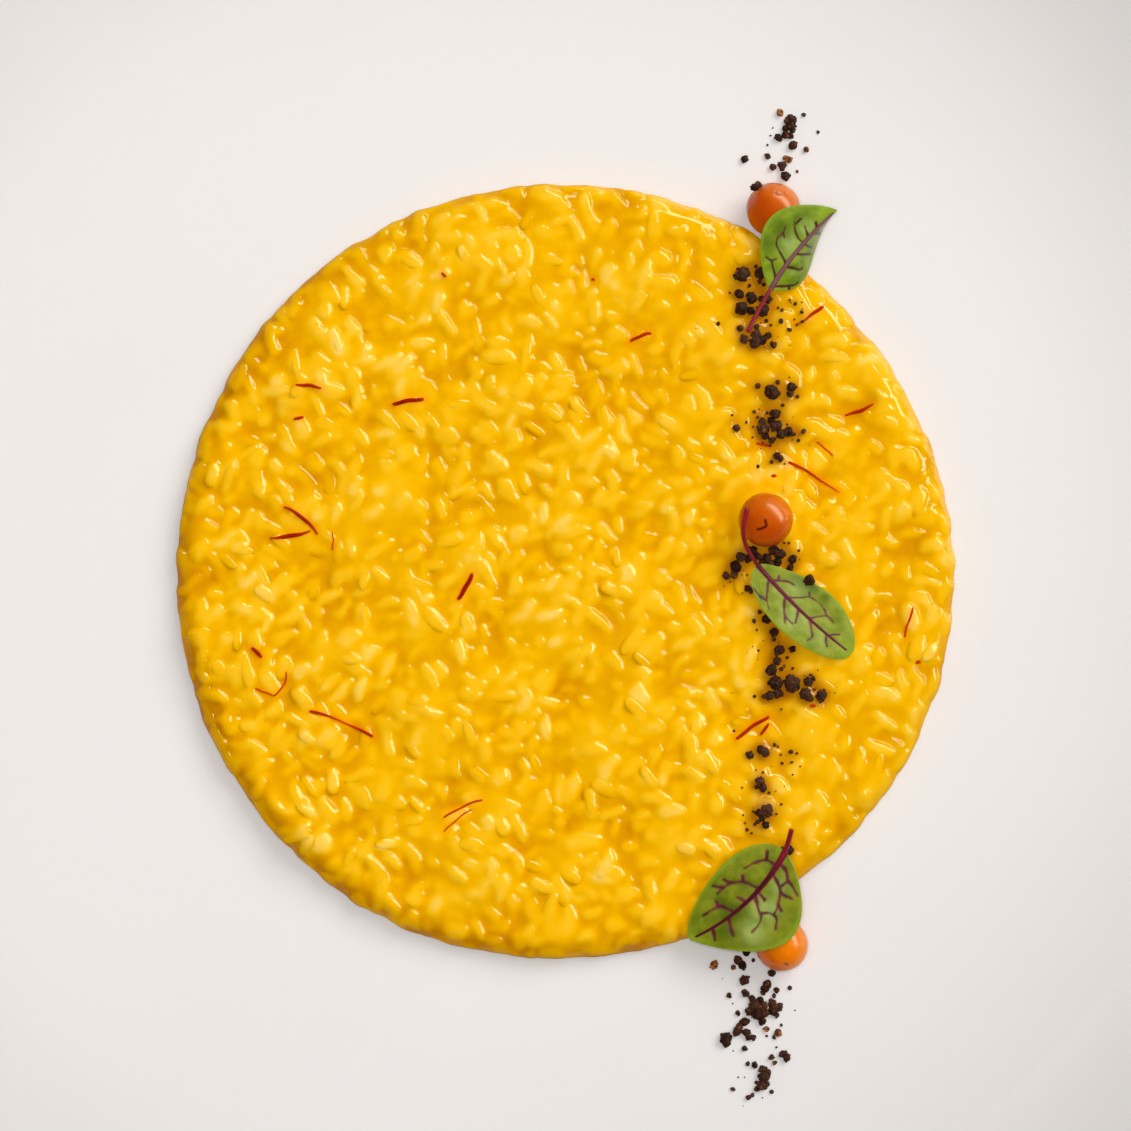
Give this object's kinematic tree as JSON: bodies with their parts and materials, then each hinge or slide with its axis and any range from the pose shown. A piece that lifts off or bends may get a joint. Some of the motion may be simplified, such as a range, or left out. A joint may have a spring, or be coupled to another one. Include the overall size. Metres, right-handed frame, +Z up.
{
  "type": "saffron risotto",
  "caption": "Round of saffron risotto on a white coupe plate, dressed with orange berries, red-veined leaves, dark crumbs and saffron threads.",
  "frame": {"origin": "centre of the plate's foot ring, on the surface that the plate stands on", "axes": "+Z up, +Y to the far side of the plate as served, +X to the right; the line of toppings runs along Y at x = 0.04 m"},
  "size_m": [0.3298, 0.3298, 0.0249],
  "materials": {
    "porcelain": "smooth white glaze, soft gloss",
    "saffron_rice": "wet cooked rice in a glossy saffron sauce",
    "berry_skin": "shiny orange berry skin with a small dark calyx scar",
    "sorrel_leaf": "soft green leaf, satin, with dark red veins and stem"
  },
  "bodies": {
    "root": {"plate": "porcelain", "risotto": "saffron_rice", "berry_top": "berry_skin", "berry_middle": "berry_skin", "berry_bottom": "berry_skin", "leaf_top": "sorrel_leaf", "leaf_middle": "sorrel_leaf", "leaf_bottom": "sorrel_leaf"}
  },
  "joints": []
}
